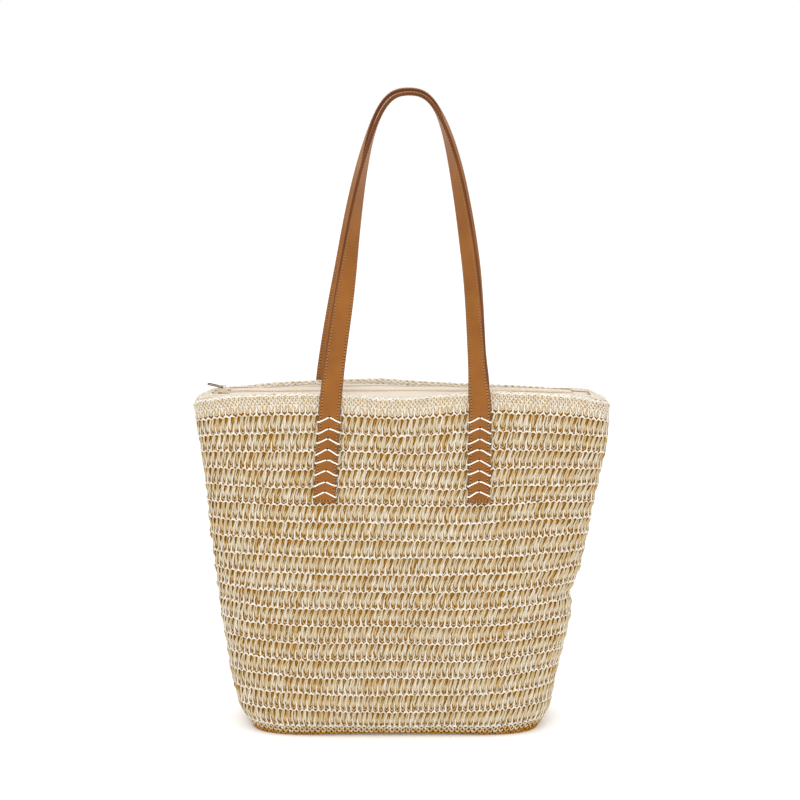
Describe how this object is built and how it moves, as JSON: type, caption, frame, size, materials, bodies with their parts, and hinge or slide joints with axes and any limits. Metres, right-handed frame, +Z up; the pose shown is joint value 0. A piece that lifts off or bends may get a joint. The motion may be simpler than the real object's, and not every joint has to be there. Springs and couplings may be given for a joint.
{
  "type": "beach bag",
  "caption": "Free-standing crocheted straw beach bag with two leather shoulder straps sewn on outside, a cloth lining and a zip across the mouth.",
  "frame": {"origin": "on the floor under the middle of the bag", "axes": "+X along the bag to the viewer's right, +Y from the front panel to the back, +Z up towards the handles"},
  "size_m": [0.4178, 0.132, 0.6446],
  "materials": {
    "straw": "matte",
    "straw_rim": "matte",
    "leather": "satin",
    "leather_inner": "satin",
    "thread": "matte",
    "lining": "matte",
    "zip_tape": "matte",
    "zip_coil": "satin",
    "slider_paint": "satin",
    "zip_metal": "gloss"
  },
  "bodies": {
    "bag": {"straw_base": "straw", "straw_body": "straw", "rim_band": "straw_rim", "lining_wall": "lining", "lining_base": "lining", "mouth_facing_front": "lining", "mouth_facing_back": "lining", "zip_end_left": "zip_tape", "zip_end_right": "zip_tape", "zip_stop_left": "slider_paint", "zip_stop_right": "slider_paint", "front_left_strap_end_outer_ply": "leather", "front_left_strap_end_inner_ply": "leather_inner", "front_left_chevron_thread": "thread", "front_right_strap_end_outer_ply": "leather", "front_right_strap_end_inner_ply": "leather_inner", "front_right_chevron_thread": "thread", "back_left_strap_end_outer_ply": "leather", "back_left_strap_end_inner_ply": "leather_inner", "back_left_chevron_thread": "thread", "back_right_strap_end_outer_ply": "leather", "back_right_strap_end_inner_ply": "leather_inner", "back_right_chevron_thread": "thread"},
    "front_flap": {"zip_flap_front": "lining", "zip_tape_front": "zip_tape", "zip_coil_front": "zip_coil"},
    "back_flap": {"zip_flap_back": "lining", "zip_tape_back": "zip_tape", "zip_coil_back": "zip_coil"},
    "slider": {"zip_slider": "slider_paint"},
    "pull": {"zip_pull": "zip_metal"},
    "front_handle": {"front_handle_outer_ply": "leather", "front_handle_inner_ply": "leather_inner"},
    "back_handle": {"back_handle_outer_ply": "leather", "back_handle_inner_ply": "leather_inner"}
  },
  "joints": [
    {"name": "front_handle_swing", "type": "hinge", "parent": "bag", "child": "front_handle", "pos_m": [0, -0.0595, 0.3378], "axis": [1, 0, 0], "range_deg": [0, 180]},
    {"name": "back_handle_swing", "type": "hinge", "parent": "bag", "child": "back_handle", "pos_m": [0, 0.0593, 0.3378], "axis": [-1, 0, 0], "range_deg": [0, 180]},
    {"name": "front_flap_fold", "type": "hinge", "parent": "bag", "child": "front_flap", "pos_m": [0, -0.032, 0.342], "axis": [-1, 0, 0], "range_deg": [0, 80]},
    {"name": "back_flap_fold", "type": "hinge", "parent": "bag", "child": "back_flap", "pos_m": [0, 0.032, 0.342], "axis": [1, 0, 0], "range_deg": [0, 80]},
    {"name": "zip_slide", "type": "slide", "parent": "bag", "child": "slider", "axis": [1, 0, 0], "range_m": [0, 0.36]},
    {"name": "zip_pull_swing", "type": "hinge", "parent": "slider", "child": "pull", "pos_m": [-0.18, 0, 0.3463], "axis": [0, 1, 0], "range_deg": [0, 150]}
  ]
}
